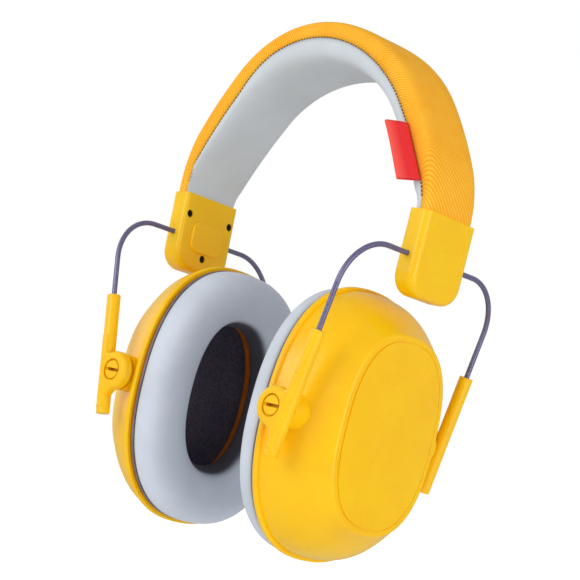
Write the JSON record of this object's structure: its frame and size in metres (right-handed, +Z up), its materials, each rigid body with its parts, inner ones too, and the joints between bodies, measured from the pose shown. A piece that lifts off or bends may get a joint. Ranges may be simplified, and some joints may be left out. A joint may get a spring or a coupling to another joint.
{
  "type": "earmuff hearing protector",
  "caption": "Over-the-head earmuffs: padded arched headband, wire arms in end caps, sliders for height and oval cups that tilt, with soft ear cushions.",
  "frame": {"origin": "the middle of the underside of the headband's padding at the crown, where it rests on the head", "axes": "+X runs across the head to the side that has no tag, +Y points away from the edge the tag hangs over, +Z points up from the head through the crown"},
  "size_m": [0.1346, 0.0916, 0.2014],
  "materials": {
    "yellow_fabric": "woven twill",
    "grey_leatherette": "smooth soft leatherette",
    "spring_steel": "bare spring steel",
    "pad_foam": "open-cell foam",
    "red_ribbon": "woven ribbon",
    "yellow_plastic": "satin moulded ABS",
    "black_screws": "blackened steel",
    "coated_wire": "coated spring wire",
    "dark_foam": "open-cell foam with a cloth face"
  },
  "bodies": {
    "headband": {"headband_cover": "yellow_fabric", "headband_lining": "grey_leatherette", "headband_spring": "spring_steel", "headband_outer_foam": "pad_foam", "headband_inner_foam": "pad_foam", "side_tag": "red_ribbon", "right_end_cap_shell": "yellow_plastic", "right_end_cap_cover": "yellow_plastic", "right_end_cap_screws": "black_screws", "left_end_cap_shell": "yellow_plastic", "left_end_cap_cover": "yellow_plastic", "left_end_cap_screws": "black_screws"},
    "right_arm": {"right_wire_arm": "coated_wire"},
    "right_front_slide": {"right_front_slider": "yellow_plastic"},
    "right_rear_slide": {"right_rear_slider": "yellow_plastic"},
    "right_cup": {"right_cup_shell": "yellow_plastic", "right_seal_plate": "yellow_plastic", "right_ear_cushion": "grey_leatherette", "right_acoustic_foam": "dark_foam"},
    "left_arm": {"left_wire_arm": "coated_wire"},
    "left_front_slide": {"left_front_slider": "yellow_plastic"},
    "left_rear_slide": {"left_rear_slider": "yellow_plastic"},
    "left_cup": {"left_cup_shell": "yellow_plastic", "left_seal_plate": "yellow_plastic", "left_ear_cushion": "grey_leatherette", "left_acoustic_foam": "dark_foam"}
  },
  "joints": [
    {"name": "right_arm_swing", "type": "hinge", "parent": "headband", "child": "right_arm", "pos_m": [0.06163, 0, -0.07428], "axis": [0, -1, 0], "range_deg": [-3, 40]},
    {"name": "right_front_slider_travel", "type": "slide", "parent": "right_arm", "child": "right_front_slide", "axis": [-0.2011, 0, -0.9796], "range_m": [-0.004, 0.018]},
    {"name": "right_rear_slider_travel", "type": "slide", "parent": "right_arm", "child": "right_rear_slide", "axis": [-0.2011, 0, -0.9796], "range_m": [-0.004, 0.018]},
    {"name": "right_cup_tilt", "type": "hinge", "parent": "right_front_slide", "child": "right_cup", "pos_m": [0.04268, 0, -0.13776], "axis": [0, -1, 0], "range_deg": [-8, 8]},
    {"name": "left_arm_swing", "type": "hinge", "parent": "headband", "child": "left_arm", "pos_m": [-0.06163, 0, -0.07428], "axis": [0, 1, 0], "range_deg": [-3, 40]},
    {"name": "left_front_slider_travel", "type": "slide", "parent": "left_arm", "child": "left_front_slide", "axis": [0.2011, 0, -0.9796], "range_m": [-0.0015, 0.0205]},
    {"name": "left_rear_slider_travel", "type": "slide", "parent": "left_arm", "child": "left_rear_slide", "axis": [0.2011, 0, -0.9796], "range_m": [-0.0015, 0.0205]},
    {"name": "left_cup_tilt", "type": "hinge", "parent": "left_front_slide", "child": "left_cup", "pos_m": [-0.04318, 0, -0.13532], "axis": [0, 1, 0], "range_deg": [-8, 8]}
  ],
  "couplings": [
    {"joint": "right_rear_slider_travel", "follows": "right_front_slider_travel", "ratio": 1},
    {"joint": "left_rear_slider_travel", "follows": "left_front_slider_travel", "ratio": 1}
  ]
}
